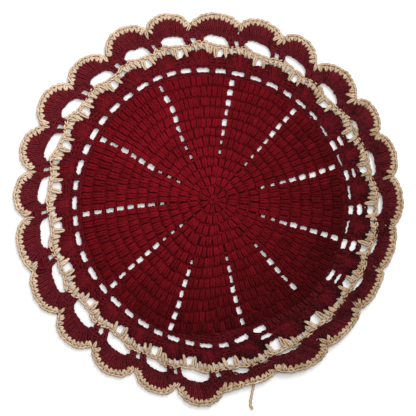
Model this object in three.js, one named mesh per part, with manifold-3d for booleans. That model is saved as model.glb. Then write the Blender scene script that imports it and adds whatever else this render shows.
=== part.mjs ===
// Crochet coaster. A round mat is worked from the middle outwards: a disc of twelve rounds with
// eleven lines of eyelets, a row of windows and a row of small fans, all in burgundy yarn, then a
// beige edging, a burgundy ring of larger fans on paired posts, and a beige edging with scallops.
// Millimetres, +Z up. The mat lies flat on z = 0 and its rim rises a little on one side.

import * as THREE from 'three';
import { mergeVertices } from 'three/addons/utils/BufferGeometryUtils.js';
import Module from 'manifold-3d';

const wasm = await Module();
wasm.setup();

// Driving sizes
const CLOTH = 3.4; // thickness of the worked yarn at the seams between rounds
const RIDGE = 0.6; // height of each round above its seams
const ROUNDS = 12; // rounds of the disc
const DISC_MIDDLE = { x: 0.8, y: 4.8 }; // where the first round lies, from the middle of the rim
const WEDGE_STEPS = 4; // flats of a round between two lines of eyelets
const FAN_STEP = 15; // degrees from one fan to the next
const UNDERLAP = 2; // from the last eyelets out to the edge of the fan rows, which run into the disc
const CREST_ROUNDNESS = 2.2; // power of the curve from a scallop's crest to its notches
const RISE = { from: 116, to: 140 }; // radii between which the rim leaves the table
const MAT_SHIFT = { x: 3.08, y: 2.65 }; // brings the middle of the mat's box to the origin

// Even radii of the fan rounds, before the unevenness of the rows below
const LEVEL = { windows: 109.6, bridge: 130.6, arch: 140, notch: 150.4, crest: 158.5 };

// Degrees that all repeats stand off their even places, at an even radius
const SWAY = [[109.6, 0], [124, -0.5], [135, 0.8], [146, 0.3], [158.5, 0]];

// Lines of eyelets: direction, distance of the last eyelet, how far the rim stands off the table,
// how many rounds the middle of the line lies inwards of its even places, how far it stands off to
// the left at the seventh and at the tenth round, and the eyelets from the last round inwards, where
// O is open, n is narrow and . is closed
const SPOKES = [
  { angle: 18, reach: 100.6, rise: 2.2, inward: 0, seventh: -1, tenth: -1.8, eyelets: 'OOOOOn' },
  { angle: 49.2, reach: 99.8, rise: 1.2, inward: 0.1, seventh: 0.2, tenth: 0.7, eyelets: 'OOOOnn' },
  { angle: 80.8, reach: 100, rise: 0, inward: 0.1, seventh: 0.7, tenth: 0.4, eyelets: 'OOOnOn' },
  { angle: 113.3, reach: 102.4, rise: 0, inward: 0.33, seventh: 2.2, tenth: -1.6, eyelets: 'nOOOOn' },
  { angle: 148.7, reach: 102, rise: 0, inward: 0.33, seventh: 0.6, tenth: -1.3, eyelets: 'OnOOOO' },
  { angle: 183.5, reach: 101, rise: 0, inward: 0.28, seventh: -2, tenth: -0.9, eyelets: 'OnOOOOn' },
  { angle: 218.4, reach: 100.6, rise: 0, inward: 0.33, seventh: -1.5, tenth: -1.4, eyelets: 'OnnOOO' },
  { angle: 251.4, reach: 102, rise: 0, inward: 0.12, seventh: -0.7, tenth: 0, eyelets: 'OOOnOn' },
  { angle: 284.8, reach: 95.8, rise: 3.4, inward: 0.27, seventh: -0.2, tenth: -1.5, eyelets: 'nOOOnn' },
  { angle: 315.3, reach: 101, rise: 4, inward: 0.23, seventh: 0.3, tenth: -1.1, eyelets: '.OnnOn' },
  { angle: 345.5, reach: 101.2, rise: 3, inward: 0.05, seventh: -0.5, tenth: 0.3, eyelets: 'OOOnOn' },
];

// Repeats of the fan rounds: degrees that the foot stands off its even place, degrees more at the
// rim, radius of the windows, radius of the gap under the large fan, its height and its share of the
// full width, radius of the rim at the fan and at the notch after it
const FANS = [
  { drift: -1.5, lean: 3, windows: 110.9, gap: 134.1, open: 5.4, wide: 0.85, crest: 152.8, notch: 148 },
  { drift: -2, lean: 3.5, windows: 110.2, gap: 132.1, open: 5.8, wide: 1, crest: 153.2, notch: 146.4 },
  { drift: -3.5, lean: 4, windows: 108.3, gap: 131.4, open: 4, wide: 0.6, crest: 152, notch: 144.8 },
  { drift: -3, lean: 2.5, windows: 108.4, gap: 129.6, open: 8, wide: 0.95, crest: 152, notch: 141.2 },
  { drift: -4, lean: 5.5, windows: 107.7, gap: 131, open: 8.4, wide: 1, crest: 153.6, notch: 147.2 },
  { drift: -4, lean: 4, windows: 107.5, gap: 131.1, open: 9.6, wide: 1.1, crest: 154.4, notch: 148.6 },
  { drift: -3.7, lean: 3.3, windows: 107.8, gap: 132.6, open: 8.4, wide: 0.9, crest: 154.8, notch: 147.8 },
  { drift: -4, lean: 3.5, windows: 109.8, gap: 134.8, open: 9.4, wide: 0.95, crest: 158.8, notch: 152 },
  { drift: -7, lean: 5, windows: 110.8, gap: 135.3, open: 10, wide: 1, crest: 160.4, notch: 148 },
  { drift: -7.7, lean: 6, windows: 110, gap: 135, open: 9.4, wide: 0.9, crest: 158.4, notch: 151.6 },
  { drift: -8.3, lean: 5.3, windows: 110.5, gap: 137, open: 10, wide: 0.95, crest: 162.4, notch: 152 },
  { drift: -9.5, lean: 6.5, windows: 109.8, gap: 136.2, open: 9.4, wide: 1.1, crest: 160.8, notch: 150.4 },
  { drift: -8.5, lean: 5, windows: 109.8, gap: 135, open: 9.2, wide: 1, crest: 159.2, notch: 150.4 },
  { drift: -9, lean: 5, windows: 109.4, gap: 134.5, open: 9.8, wide: 1.1, crest: 159.2, notch: 154.4 },
  { drift: -8.5, lean: 6.5, windows: 109.7, gap: 135.7, open: 8.8, wide: 1.05, crest: 160, notch: 151.2 },
  { drift: -7.7, lean: 4.7, windows: 108.6, gap: 134.2, open: 10.4, wide: 1.1, crest: 160, notch: 149.6 },
  { drift: -7.5, lean: 5, windows: 108, gap: 133.4, open: 10.4, wide: 1.05, crest: 158.4, notch: 147 },
  { drift: -8, lean: 6, windows: 109.3, gap: 134.3, open: 8.4, wide: 0.9, crest: 156.8, notch: 148.8 },
  { drift: -9.5, lean: 6, windows: 110.4, gap: 135.7, open: 10.4, wide: 1.1, crest: 160.4, notch: 150.4 },
  { drift: -10.3, lean: 9, windows: 111.4, gap: 133.4, open: 6.4, wide: 0.45, crest: 146, notch: 142.4 },
  { drift: -8.8, lean: 12, windows: 105.2, gap: 130.3, open: 4, wide: 0.85, crest: 150.8, notch: 146.4 },
  { drift: -4.7, lean: 8, windows: 106.4, gap: 130.4, open: 3.4, wide: 0.45, crest: 148.4, notch: 144.8 },
  { drift: 0, lean: 3, windows: 109.7, gap: 131.8, open: 4.6, wide: 0.75, crest: 148.8, notch: 146.4 },
  { drift: -1, lean: 3, windows: 109.6, gap: 132.9, open: 4, wide: 0.8, crest: 149.8, notch: 147.6 },
];

// Degrees that the notch after each fan stands off its even place
const NOTCH_TURNS = [
  0.8, 0.6, -0.5, 0.9, -1, -0.8, 0, -0.5, 0.6, -0.2, 1.4, 0.5,
  0.5, 1.4, 0.7, 0.4, 0.1, 0, 0, -1, 0, 0, 0, 0,
];

// Openings that are pulled shut, counted in half fans and in fans
const SHUT_WINDOWS = [41, 42, 43, 45];
const SHUT_LADDERS = [0, 1, 2, 3, 14, 21];

// Fans after which the notch stands open below the edging
const OPEN_NOTCHES = [5, 13, 22, 23];

// Slits that stand open between the two chain arcs of a gap: fan and height
const SLITS = [
  { fan: 0, high: 4.6 },
  { fan: 1, high: 3 },
  { fan: 2, high: 3.2 },
  { fan: 20, high: 2.8 },
  { fan: 22, high: 3 },
  { fan: 23, high: 5.2 },
];

// Half sizes of the eyelets
const EYELETS = { O: { halfWidth: 2.2, halfHeight: 2.4 }, n: { halfWidth: 1.4, halfHeight: 2.7 } };

// Windows of the first row outside the disc, in degrees and radii
const WINDOWS = {
  narrow: { halfDegrees: 2.3, low: 107.4, high: 112 },
  wide: { halfDegrees: 2.9, low: 107.6, high: 111.8 },
};
const SLIT = { halfDegrees: 2, level: 117 };
const LADDER = { halfDegrees: 0.85, low: 133.4, high: 138.2 };
const POST_FOOT = 2.2; // half width of the foot of a pair of posts, in degrees
const GAP_HALF_DEGREES = 4.6; // half width of the gap under a large fan
const BRIDGE_LEVEL = 130.2; // outer edge of the inner edging
const POST_LEVEL = 130.6; // foot of the paired posts
const NOTCH = { degrees: 7.5, shut: 142.9, open: 147.2 }; // where the edging ends between two large fans

// Outlines of one repeat: degrees from its middle, and even radius
const SMALL_FAN = [
  [-5.3, 120.6], [-4.8, 124.2], [-3, 126], [0, 126.6], [3, 126], [4.8, 124.2], [5.3, 120.6], [7.5, 120.7],
];
const EDGED_SMALL_FAN = [
  [-6.4, 128.6], [-6.4, 121.05], [-5.45, 121], [-4.95, 124.4], [-3.05, 126.35], [0, 126.95],
  [3.05, 126.35], [4.95, 124.4], [5.45, 121], [6.4, 121.05], [6.4, 128.6],
];
const ARCH = [[-1, 137.8], [-0.75, 139.6], [0, 140.2], [0.75, 139.6], [1, 137.8]];
const LARGE_FAN = [
  [-7.4, 141.9], [-6.9, 146], [-5, 148.8], [-2.6, 151.4], [0, 152.2],
  [2.6, 151.4], [5, 148.8], [6.9, 146], [7.4, 141.9],
];
const EDGED_LARGE_FAN = [
  [-7, 146.6], [-5, 149.3], [-2.6, 151.9], [0, 152.7], [2.6, 151.9], [5, 149.3], [7, 146.6],
];
const SCALLOP = [
  [-6.2, 153.4], [-4.2, 156.4], [-2, 158], [0, 158.5],
  [2, 158], [4.2, 156.4], [6.2, 153.4], [7.5, 150.4],
];

// Free end of the last yarn: it leaves the rim from below and lies on the table
const TAIL = { diameter: 2.2, sides: 8, steps: 14 };
const TAIL_ROUTE = [
  [33, -131.4, 1.68], [33.1, -133.6, 1.6], [33.2, -135.8, 1.48], [33.3, -138, 1.34],
  [33.3, -140.2, 1.22], [33.3, -142.4, 1.14], [33.1, -144.8, 1.12], [32.7, -147, 1.12],
  [32.2, -149.2, 1.12], [31.8, -151.4, 1.12], [31.4, -153.6, 1.12], [31, -155.8, 1.12],
  [30.8, -157.8, 1.12], [30.9, -159.6, 1.12], [31.6, -161.3, 1.12], [32.8, -162.7, 1.12],
];

const COLOURS = { burgundy: 0x74121f, beige: 0xd8bd99 };

// Value between the entries of a closed ring of numbers, on a smooth curve
function ringValue(values, place) {
  const count = values.length;
  const index = Math.floor(place);
  const part = place - index;
  const [a, b, c, d] = [-1, 0, 1, 2].map((step) => values[(((index + step) % count) + count) % count]);
  const bend = 2 * a - 5 * b + 4 * c - d + part * (3 * (b - c) + d - a);
  return b + 0.5 * part * (c - a + part * bend);
}

// Value at a place on a line of [place, value] points
function onLine(line, place) {
  const next = line.findIndex(([at]) => at > place);
  if (next < 1) {
    return line.at(next)[1];
  }
  const [[fromPlace, from], [toPlace, to]] = line.slice(next - 1, next + 1);
  return THREE.MathUtils.mapLinear(place, fromPlace, toPlace, from, to);
}

// Place of a direction among the lines of eyelets: 0 is the first line, 1 the second, and so on
function spokePlace(angle) {
  const first = SPOKES[0].angle;
  const turned = first + ((((angle - first) % 360) + 360) % 360);
  const ends = [...SPOKES.slice(1).map((spoke) => spoke.angle), first + 360];
  const index = ends.findIndex((end) => turned < end);
  const start = SPOKES[index].angle;
  return index + (turned - start) / (ends[index] - start);
}

function spokeAngle(place) {
  const index = Math.floor(place);
  const start = SPOKES[index].angle;
  const end = index + 1 < SPOKES.length ? SPOKES[index + 1].angle : SPOKES[0].angle + 360;
  return start + (end - start) * (place - index);
}

const reaches = SPOKES.map((spoke) => spoke.reach);
const rises = SPOKES.map((spoke) => spoke.rise);
const inwards = SPOKES.map((spoke) => spoke.inward);
const sevenths = SPOKES.map((spoke) => spoke.seventh);
const tenths = SPOKES.map((spoke) => spoke.tenth);

function polar(angle, radius) {
  const turn = THREE.MathUtils.degToRad(angle);
  return new THREE.Vector2(radius * Math.cos(turn), radius * Math.sin(turn));
}

// Point of the disc: a direction, and a round counted from the first
function discPoint(place, round) {
  const middle = new THREE.Vector2(DISC_MIDDLE.x, DISC_MIDDLE.y);
  const rim = polar(spokeAngle(place), ringValue(reaches, place));
  const inward = ringValue(inwards, place) * onLine([[0, 0], [4, 0.75], [10, 1], [ROUNDS, 0]], round);
  const bend = [[0, 0], [7, ringValue(sevenths, place)], [10, ringValue(tenths, place)], [ROUNDS, 0]];
  const along = rim.clone().sub(middle).normalize();
  const left = new THREE.Vector2(-along.y, along.x);
  return middle.lerp(rim, (round - inward) / ROUNDS).addScaledVector(left, onLine(bend, round));
}

// Share of a scallop's height at a place in fans: 1 at its crest and 0 at both notches
function dome(fan) {
  return 1 - (2 * Math.abs(fan - Math.round(fan))) ** CREST_ROUNDNESS;
}

// Fan whose notch lies nearest to a place in fans
function notchNear(fan) {
  return (Math.ceil(fan) - 1 + FANS.length) % FANS.length;
}

// Radius of the rim, and the even radius that it stands for
function rimAt(fan) {
  const row = FANS[Math.round(fan) % FANS.length];
  const { notch } = FANS[notchNear(fan)];
  return {
    radius: notch + (row.crest - notch) * dome(fan),
    level: LEVEL.notch + (LEVEL.crest - LEVEL.notch) * dome(fan),
  };
}

// Point of the fan rounds: a place counted in fans, and an even radius
function fanPoint(fan, level) {
  const column = (name) => ringValue(FANS.map((row) => row[name]), fan);
  const share = (level - LEVEL.windows) / (LEVEL.crest - LEVEL.windows);
  const outwards = THREE.MathUtils.clamp((level - LEVEL.arch) / (LEVEL.notch - LEVEL.arch), 0, 1);
  const turn = NOTCH_TURNS[notchNear(fan)] * (1 - dome(fan)) * outwards;
  const angle = FAN_STEP * fan + column('drift') + column('lean') * share + onLine(SWAY, level) + turn;
  const rim = rimAt(fan);
  const gap = { low: column('gap') - column('open') / 2, high: column('gap') + column('open') / 2 };
  const stops = [
    [LEVEL.windows, column('windows')],
    [LEVEL.bridge, gap.low],
    [LEVEL.arch, gap.high],
    [rim.level, rim.radius],
  ];
  const band = level < LEVEL.bridge ? 0 : level < LEVEL.arch ? 1 : 2;
  const [[fromLevel, from], [toLevel, to]] = stops.slice(band, band + 2);
  return polar(angle, THREE.MathUtils.mapLinear(level, fromLevel, toLevel, from, to));
}

// Height of the underside over the table
function rise(x, y) {
  const angle = THREE.MathUtils.radToDeg(Math.atan2(y, x));
  const full = Math.max(0, ringValue(rises, spokePlace(angle)));
  return full * THREE.MathUtils.smoothstep(Math.hypot(x, y), RISE.from, RISE.to);
}

// Closed line around the mat: for each fan, rows of degrees from a place in fans, and a radius
function outline(offset, rowsOf) {
  return FANS.flatMap((fan, index) => rowsOf(index).map(([degrees, level]) => (
    fanPoint(index + offset + degrees / FAN_STEP, level)
  )));
}

// Opening with six corners, given as a point for each pair of shares across and along it
function opening(pointAt) {
  const narrow = 0.6;
  const corners = [[-narrow, -1], [narrow, -1], [1, 0], [narrow, 1], [-narrow, 1], [-1, 0]];
  return corners.map(([across, along]) => pointAt(across, along));
}

function ringOpening(fan, halfDegrees, low, high) {
  const level = (along) => (low + high + along * (high - low)) / 2;
  return opening((across, along) => fanPoint(fan + (across * halfDegrees) / FAN_STEP, level(along)));
}

function plate(outer, inner, openings) {
  const shape = new THREE.Shape(outer);
  shape.holes = [inner, ...openings].map((hole) => new THREE.Path(hole));
  return new THREE.ExtrudeGeometry(shape, { depth: CLOTH, bevelEnabled: false });
}

function manifold(geometry) {
  geometry.deleteAttribute('normal');
  geometry.deleteAttribute('uv');
  const merged = mergeVertices(geometry);
  return new wasm.Manifold(new wasm.Mesh({
    numProp: 3,
    vertProperties: new Float32Array(merged.attributes.position.array),
    triVerts: new Uint32Array(merged.index.array),
  }));
}

// Body bent up where the rim stands off the table
function raised(body) {
  const mesh = body.getMesh();
  const points = new Float32Array(mesh.vertProperties);
  for (let i = 0; i < points.length; i += 3) {
    points[i + 2] += rise(points[i], points[i + 1]);
  }
  const geometry = new THREE.BufferGeometry();
  geometry.setAttribute('position', new THREE.BufferAttribute(points, 3));
  geometry.setIndex(new THREE.BufferAttribute(new Uint32Array(mesh.triVerts), 1));
  geometry.computeVertexNormals();
  return geometry;
}

// Disc: each round is a ridge between two seams, over a flat underside
function discGeometry() {
  const profile = [[ROUNDS + 0.5, 0]];
  for (let round = ROUNDS; round > 0; round -= 1) {
    profile.push([round + 0.5, CLOTH], [round, CLOTH + RIDGE]);
  }
  profile.push([0.5, CLOTH]);
  const steps = SPOKES.length * WEDGE_STEPS;
  const points = [DISC_MIDDLE.x, DISC_MIDDLE.y, 0, DISC_MIDDLE.x, DISC_MIDDLE.y, CLOTH];
  profile.forEach(([round, z]) => {
    for (let step = 0; step < steps; step += 1) {
      const at = discPoint(step / WEDGE_STEPS, round);
      points.push(at.x, at.y, z);
    }
  });
  const vertex = (ring, step) => 2 + ring * steps + (step % steps);
  const last = profile.length - 1;
  const faces = [];
  for (let step = 0; step < steps; step += 1) {
    faces.push(0, vertex(0, step + 1), vertex(0, step));
    faces.push(1, vertex(last, step), vertex(last, step + 1));
    for (let ring = 0; ring < last; ring += 1) {
      const [a, b] = [vertex(ring, step), vertex(ring, step + 1)];
      const [c, d] = [vertex(ring + 1, step + 1), vertex(ring + 1, step)];
      faces.push(a, b, c, a, c, d);
    }
  }
  const geometry = new THREE.BufferGeometry();
  geometry.setAttribute('position', new THREE.Float32BufferAttribute(points, 3));
  geometry.setIndex(faces);
  return geometry;
}

// Posts that cut the eyelets through the disc
function eyeletGeometry() {
  const overshoot = 1;
  const shapes = SPOKES.flatMap((spoke, index) => [...spoke.eyelets].flatMap((letter, inward) => {
    const size = EYELETS[letter];
    if (!size) {
      return [];
    }
    const at = discPoint(index, ROUNDS - inward);
    const along = discPoint(index, ROUNDS).sub(discPoint(index, 0)).normalize();
    const across = new THREE.Vector2(-along.y, along.x);
    const corner = (side, out) => (
      at.clone()
        .addScaledVector(across, side * size.halfWidth)
        .addScaledVector(along, out * size.halfHeight)
    );
    return [new THREE.Shape(opening(corner))];
  }));
  const depth = CLOTH + RIDGE + 2 * overshoot;
  return new THREE.ExtrudeGeometry(shapes, { depth, bevelEnabled: false }).translate(0, 0, -overshoot);
}

// Disc, windows and small fans, in one piece
function centreMat() {
  const outer = outline(0.5, () => SMALL_FAN);
  const inner = Array.from({ length: SPOKES.length * WEDGE_STEPS }, (unused, step) => {
    const place = step / WEDGE_STEPS;
    return polar(spokeAngle(place), ringValue(reaches, place) + UNDERLAP);
  });
  const windows = [];
  for (let half = 0; half < 2 * FANS.length; half += 1) {
    const size = half % 2 ? WINDOWS.wide : WINDOWS.narrow;
    if (!SHUT_WINDOWS.includes(half)) {
      windows.push(ringOpening(half / 2, size.halfDegrees, size.low, size.high));
    }
  }
  const slits = SLITS.map(({ fan, high }) => (
    ringOpening(fan, SLIT.halfDegrees, SLIT.level - high / 2, SLIT.level + high / 2)
  ));
  const rows = manifold(plate(outer, inner, [...windows, ...slits]));
  return manifold(discGeometry()).add(rows).subtract(manifold(eyeletGeometry()));
}

// Beige edging over the small fans: two legs down beside each gap and a bridge over it
function innerEdging() {
  const inner = outline(0.5, () => EDGED_SMALL_FAN);
  const outer = outline(0.5, (index) => postFoot(index, BRIDGE_LEVEL));
  return manifold(plate(outer, inner, []));
}

// Both sides of the foot of a pair of posts, and the middle of the gap after it
function postFoot(index, level) {
  const half = FAN_STEP / 2;
  const before = half - GAP_HALF_DEGREES * FANS[index].wide;
  const after = half - GAP_HALF_DEGREES * FANS[(index + 1) % FANS.length].wide;
  return [[-before, level], [-POST_FOOT, level], [POST_FOOT, level], [after, level], [half, level]];
}

// Burgundy ring: pairs of posts, arches over the gaps, and the large fans
function outerFanRing() {
  const inner = outline(0.5, (index) => {
    const half = GAP_HALF_DEGREES * FANS[(index + 1) % FANS.length].wide;
    const foot = postFoot(index, POST_LEVEL).slice(0, 4);
    const gap = ARCH.map(([share, level]) => [FAN_STEP / 2 + share * half, level]);
    return [...foot, ...gap];
  });
  const ladders = FANS.flatMap((fan, index) => (SHUT_LADDERS.includes(index) ? [] : [
    ringOpening(index + 0.5, LADDER.halfDegrees, LADDER.low, LADDER.high),
  ]));
  return manifold(plate(outline(0, () => LARGE_FAN), inner, ladders));
}

// Beige edging of the rim, with a long stitch into each notch
function outerEdging() {
  const inner = outline(0, (index) => {
    const notch = OPEN_NOTCHES.includes(index) ? NOTCH.open : NOTCH.shut;
    return [...EDGED_LARGE_FAN, [NOTCH.degrees, notch]];
  });
  return manifold(plate(outline(0, () => SCALLOP), inner, []));
}

function tailGeometry() {
  const outlinePoints = Array.from({ length: TAIL.sides }, (unused, side) => (
    polar((side * 360) / TAIL.sides, TAIL.diameter / 2)
  ));
  const extrudePath = new THREE.CatmullRomCurve3(TAIL_ROUTE.map((point) => new THREE.Vector3(...point)));
  return new THREE.ExtrudeGeometry(new THREE.Shape(outlinePoints), { extrudePath, steps: TAIL.steps });
}

function piece(name, geometry, colour) {
  const finish = { color: COLOURS[colour], roughness: 0.95, metalness: 0 };
  const mesh = new THREE.Mesh(geometry, new THREE.MeshStandardMaterial(finish));
  mesh.name = name;
  return mesh;
}

const mat = new THREE.Group();
mat.add(
  piece('centre_mat', raised(centreMat()), 'burgundy'),
  piece('inner_edging', raised(innerEdging()), 'beige'),
  piece('outer_fan_ring', raised(outerFanRing()), 'burgundy'),
  piece('outer_edging', raised(outerEdging()), 'beige'),
  piece('yarn_tail', tailGeometry(), 'beige'),
);
mat.position.set(MAT_SHIFT.x, MAT_SHIFT.y, 0);

export default mat;
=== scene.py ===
"""Crochet coaster: every stitch, the materials, the light and the camera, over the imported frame.

The stitches are strands of yarn. A row is cut into cells, one for each stitch, and each cell holds
the strands of a crochet stitch. Sizes are in millimetres from the middle of the rounds until a mesh
is made, and in metres in the scene. A place in the disc is counted in wedges and rounds, and one in
the outer rows in fans and levels. A level is a radius of the mat if it were even.
"""

import bmesh
import bpy
import math
import numpy as np
from mathutils import Matrix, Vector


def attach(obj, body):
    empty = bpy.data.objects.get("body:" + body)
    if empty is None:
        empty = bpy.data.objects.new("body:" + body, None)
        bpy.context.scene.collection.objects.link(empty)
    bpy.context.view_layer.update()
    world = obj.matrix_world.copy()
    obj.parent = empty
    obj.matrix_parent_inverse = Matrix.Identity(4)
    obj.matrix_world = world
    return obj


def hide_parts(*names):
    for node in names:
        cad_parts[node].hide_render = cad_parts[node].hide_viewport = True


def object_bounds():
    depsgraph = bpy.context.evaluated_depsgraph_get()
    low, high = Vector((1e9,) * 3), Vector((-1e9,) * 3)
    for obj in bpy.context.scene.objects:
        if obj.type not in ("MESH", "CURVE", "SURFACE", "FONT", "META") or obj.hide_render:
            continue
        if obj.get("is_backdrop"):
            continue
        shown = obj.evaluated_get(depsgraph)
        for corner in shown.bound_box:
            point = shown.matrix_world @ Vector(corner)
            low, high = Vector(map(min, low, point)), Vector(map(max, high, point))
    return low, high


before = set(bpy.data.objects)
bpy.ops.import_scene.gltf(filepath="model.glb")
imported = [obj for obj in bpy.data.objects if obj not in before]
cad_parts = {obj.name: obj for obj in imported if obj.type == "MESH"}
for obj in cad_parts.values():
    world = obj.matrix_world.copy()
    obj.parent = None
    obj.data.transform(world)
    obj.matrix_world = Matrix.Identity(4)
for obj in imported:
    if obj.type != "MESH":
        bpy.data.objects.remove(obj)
start_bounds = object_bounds()

MM = 0.001
MAT_SHIFT = np.array([3.08, 2.65, 0.0])  # middle of the rounds, from the middle of the mat's box
SEED = 41

# Yarn
STRAND = 1.0  # radius of a strand in a full-width stitch
STITCH = 4.6  # full width of a stitch
PLIES = 3
SIDES = 2 * PLIES  # a ridge and a groove around a strand for each ply
PLY_TURN = 11.4  # length in which the plies turn once
PLY_DEPTH = 0.12  # share of the radius by which ridges stand out and grooves lie in
END_TAPER = 0.55  # radius of a strand at its ends against a full one
RINGS_PER_MM = 0.85
FEWEST_RINGS = 5
CELL_WIDTHS = (0.62, 1.06)  # a strand is as thick as its cell is wide, between these shares
CHAIN_WIDTH = 3.3  # of a chain, in radii of its strands
ALONG_SHIFT = 0.7  # share of the random shift that counts along a stitch
TONES = (-0.3, 1.3)

# Unevenness of the work, as standard deviations
UNEVEN = {
    "shift": 0.04,  # share of a stitch's cell
    "lean": 0.07,  # share of a cell's width
    "height": 0.12,
    "size": 0.035,
    "tone": 0.17,
    "strand tone": 0.1,
    "strand": 0.11,  # of each point of a strand
    "round edge": 0.055,  # share of a round
    "stitch edge": 0.09,  # share of a stitch
    "post": 0.2,  # degrees
    "bulge": 0.16,  # share of the height of the inner edging's bulges
    "chain": 0.2,  # level of the inner edging's chain
    "tip": 0.3,  # degrees
    "base": 0.2,  # degrees
    "tip level": 0.6,
    "rim stitch": 0.2,
    "rim tooth": 0.3,
}

# Disc. Columns of a line of eyelets: its direction, distance of its last eyelet, rise of the mat's rim
# there, how many rounds its middle lies inwards, and how far it stands off to the left at the seventh
# and at the tenth round
ROUNDS = 12
DISC_MIDDLE = np.array([0.8, 4.8])
SPOKES = np.array([
    (18, 100.6, 2.2, 0, -1, -1.8),
    (49.2, 99.8, 1.2, 0.1, 0.2, 0.7),
    (80.8, 100, 0, 0.1, 0.7, 0.4),
    (113.3, 102.4, 0, 0.33, 2.2, -1.6),
    (148.7, 102, 0, 0.33, 0.6, -1.3),
    (183.5, 101, 0, 0.28, -2, -0.9),
    (218.4, 100.6, 0, 0.33, -1.5, -1.4),
    (251.4, 102, 0, 0.12, -0.7, 0),
    (284.8, 95.8, 3.4, 0.27, -0.2, -1.5),
    (315.3, 101, 4, 0.23, 0.3, -1.1),
    (345.5, 101.2, 3, 0.05, -0.5, 0.3),
])
ANGLES, REACHES, RISES, INWARDS, SEVENTHS, TENTHS = SPOKES.T
FULL_TURN = np.append(ANGLES, ANGLES[0] + 360)
RISE_STARTS, RISE_ENDS = 116, 140  # the rim rises between these radii
# Share of the last three columns by round
INWARD_SHARE = [(0, 0), (4, 0.75), (10, 1), (ROUNDS, 0)]
SEVENTH_SHARE = [(0, 0), (7, 1), (10, 0), (ROUNDS, 0)]
TENTH_SHARE = [(0, 0), (7, 0), (10, 1), (ROUNDS, 0)]
# Eyelets of each line from the rim inwards: O wide, n narrow, s small, d a dark slit and . shut
EYELETS = ["OOOOOnssddd", "OOOOnnssd", "OOOnOnss", "nOOOOnss", "OnOOOOsss", "OnOOOOnsd", "OnnOOOsssdd",
           "OOOnOns.dd", "nOOOnnsd", ".OnnOns.d", "OOOnOnssd"]
CLEAR = {"O": 3.55, "n": 2.35, "s": 1.9, "d": 1.25, ".": 0.4}  # clear width of an eyelet
SMALL_EYELET = (3.0, 2.2, 20)  # cut through the ground: length along its line, width and height
SMALL_NARROW = 6  # rounds inwards from the rim at which a narrow eyelet is a small one
FIRST_FOOT = 0.45  # round at which the stitches of the first round begin
CENTRE_STITCHES = 6
CENTRE_FOOT, CENTRE_TOP = 0.06, 0.6  # rounds
BAR_OVERLAP = 1.3  # length of a bar past its eyelet, on each side
DISC_PIECES = {"disc_inner_rounds": range(1, 8), "disc_middle_rounds": range(8, 11),
               "disc_outer_rounds": range(11, 13)}

# Fan rounds: levels, and degrees by which all rows sway at a level
FAN_STEP = 15
AT_WINDOWS, AT_BRIDGE, AT_ARCH, AT_NOTCH, AT_CREST = 109.6, 130.6, 140, 150.4, 158.5
SWAY = [(109.6, 0), (124, -0.5), (135, 0.8), (146, 0.3), (158.5, 0)]
DOME_POWER = 2.2  # the higher, the flatter a scallop
# Columns of a fan: degrees that it drifts at the windows and leans further up to its crest, radius of
# the windows and of the middle of the gap, the gap's depth and its width against a full one, and
# radius of the crest and of the notch after it
FANS = np.array([
    (-1.5, 3, 110.9, 134.1, 5.4, 0.85, 152.8, 148),
    (-2, 3.5, 110.2, 132.1, 5.8, 1, 153.2, 146.4),
    (-3.5, 4, 108.3, 131.4, 4, 0.6, 152, 144.8),
    (-3, 2.5, 108.4, 129.6, 8, 0.95, 152, 141.2),
    (-4, 5.5, 107.7, 131, 8.4, 1, 153.6, 147.2),
    (-4, 4, 107.5, 131.1, 9.6, 1.1, 154.4, 148.6),
    (-3.7, 3.3, 107.8, 132.6, 8.4, 0.9, 154.8, 147.8),
    (-4, 3.5, 109.8, 134.8, 9.4, 0.95, 158.8, 152),
    (-7, 5, 110.8, 135.3, 10, 1, 160.4, 148),
    (-7.7, 6, 110, 135, 9.4, 0.9, 158.4, 151.6),
    (-8.3, 5.3, 110.5, 137, 10, 0.95, 162.4, 152),
    (-9.5, 6.5, 109.8, 136.2, 9.4, 1.1, 160.8, 150.4),
    (-8.5, 5, 109.8, 135, 9.2, 1, 159.2, 150.4),
    (-9, 5, 109.4, 134.5, 9.8, 1.1, 159.2, 154.4),
    (-8.5, 6.5, 109.7, 135.7, 8.8, 1.05, 160, 151.2),
    (-7.7, 4.7, 108.6, 134.2, 10.4, 1.1, 160, 149.6),
    (-7.5, 5, 108, 133.4, 10.4, 1.05, 158.4, 147),
    (-8, 6, 109.3, 134.3, 8.4, 0.9, 156.8, 148.8),
    (-9.5, 6, 110.4, 135.7, 10.4, 1.1, 160.4, 150.4),
    (-10.3, 9, 111.4, 133.4, 6.4, 0.45, 146, 142.4),
    (-8.8, 12, 105.2, 130.3, 4, 0.85, 150.8, 146.4),
    (-4.7, 8, 106.4, 130.4, 3.4, 0.45, 148.4, 144.8),
    (0, 3, 109.7, 131.8, 4.6, 0.75, 148.8, 146.4),
    (-1, 3, 109.6, 132.9, 4, 0.8, 149.8, 147.6),
])
DRIFTS, LEANS, WINDOW_RADII, GAPS, OPENS, WIDTHS, CRESTS, NOTCHES = FANS.T
COUNT = len(FANS)
# Degrees by which the notch after each fan is turned
NOTCH_TURNS = np.array([0.8, 0.6, -0.5, 0.9, -1, -0.8, 0, -0.5, 0.6, -0.2, 1.4, 0.5,
                        0.5, 1.4, 0.7, 0.4, 0.1, 0, 0, -1, 0, 0, 0, 0])
GAP_HALF_DEGREES = 4.6  # half a gap of full width

# Window row: levels of its two chains and of the feet and tops of its posts, the posts' places in a
# fan, and half a post in degrees
LOWER_CHAIN, UPPER_CHAIN = 106.4, 113.5
POST_FOOT, POST_TOP = 106.6, 114
POST_PLACES = (0.23, 0.77)
POST_HALF = 1.25
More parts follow.
